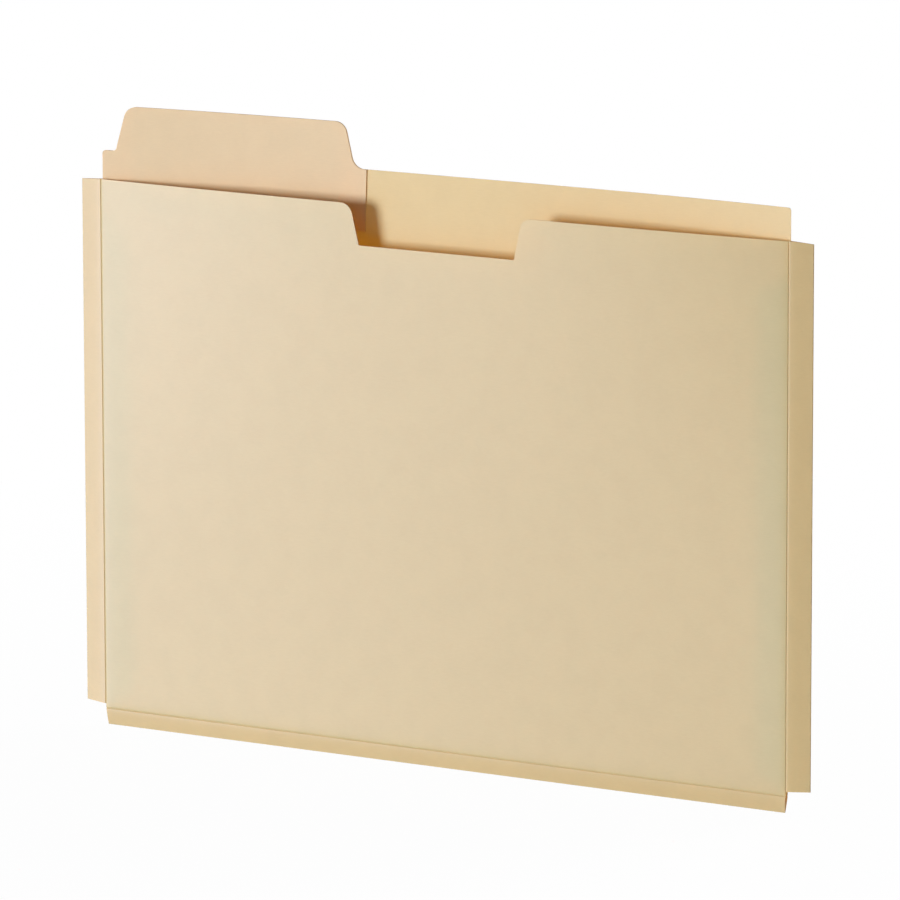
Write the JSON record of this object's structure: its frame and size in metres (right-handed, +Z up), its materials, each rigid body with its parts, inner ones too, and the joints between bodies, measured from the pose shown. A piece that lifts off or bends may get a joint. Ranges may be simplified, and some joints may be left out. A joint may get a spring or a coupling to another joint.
{
  "type": "expanding file pocket",
  "caption": "Upright manila card file pocket with a tabbed back panel, a front panel with a thumb cut, and V-folded gussets along the sides and bottom that let it expand.",
  "frame": {"origin": "middle of the pocket's width and depth, level with the bottom fold", "axes": "+Z up towards the tab, +X along the width towards the right-hand gusset, -Y out of the front panel"},
  "size_m": [0.3166, 0.0115, 0.241],
  "materials": {
    "manila_front": "uncoated manila card, matt",
    "manila_back": "uncoated manila card, matt",
    "manila_tab": "uncoated manila card, matt",
    "manila_gusset": "uncoated manila card, matt",
    "dried_glue": "dried clear paper glue"
  },
  "bodies": {
    "back": {"back_panel": "manila_back", "tab_reinforcement": "manila_tab", "tab_glue": "dried_glue", "left_glue_flap": "manila_gusset", "right_glue_flap": "manila_gusset", "left_glue_line": "dried_glue", "right_glue_line": "dried_glue"},
    "bottom_back": {"bottom_gusset_back": "manila_gusset"},
    "bottom_front": {"bottom_gusset_front": "manila_gusset"},
    "front": {"front_panel": "manila_front"},
    "left_front": {"left_gusset_front": "manila_gusset"},
    "left_back": {"left_gusset_back": "manila_gusset"},
    "right_front": {"right_gusset_front": "manila_gusset"},
    "right_back": {"right_gusset_back": "manila_gusset"}
  },
  "joints": [
    {"name": "expand", "type": "hinge", "parent": "back", "child": "bottom_back", "pos_m": [0, -0.00095, 0.00632], "axis": [-1, 0, 0], "range_deg": [-2, 50]},
    {"name": "bottom_fold", "type": "hinge", "parent": "bottom_back", "child": "bottom_front", "pos_m": [0, -0.00159, 0], "axis": [1, 0, 0], "range_deg": [-4, 100]},
    {"name": "front_score", "type": "hinge", "parent": "bottom_front", "child": "front", "pos_m": [0, -0.00223, 0.00632], "axis": [-1, 0, 0], "range_deg": [-2, 50]},
    {"name": "left_score", "type": "hinge", "parent": "front", "child": "left_front", "pos_m": [-0.14922, -0.00223, 0.1], "axis": [0, 0, -1], "range_deg": [-1, 25]},
    {"name": "left_fold", "type": "hinge", "parent": "left_front", "child": "left_back", "pos_m": [-0.15843, -0.00093, 0.1], "axis": [0, 0, 1], "range_deg": [-2.5, 62.5]},
    {"name": "right_score", "type": "hinge", "parent": "front", "child": "right_front", "pos_m": [0.14922, -0.00223, 0.1], "axis": [0, 0, 1], "range_deg": [-1, 25]},
    {"name": "right_fold", "type": "hinge", "parent": "right_front", "child": "right_back", "pos_m": [0.15843, -0.00093, 0.1], "axis": [0, 0, -1], "range_deg": [-2.5, 62.5]}
  ],
  "couplings": [
    {"joint": "bottom_fold", "follows": "expand", "ratio": 2},
    {"joint": "front_score", "follows": "expand", "ratio": 1},
    {"joint": "left_score", "follows": "expand", "ratio": 0.5},
    {"joint": "left_fold", "follows": "expand", "ratio": 1.25},
    {"joint": "right_score", "follows": "expand", "ratio": 0.5},
    {"joint": "right_fold", "follows": "expand", "ratio": 1.25}
  ]
}
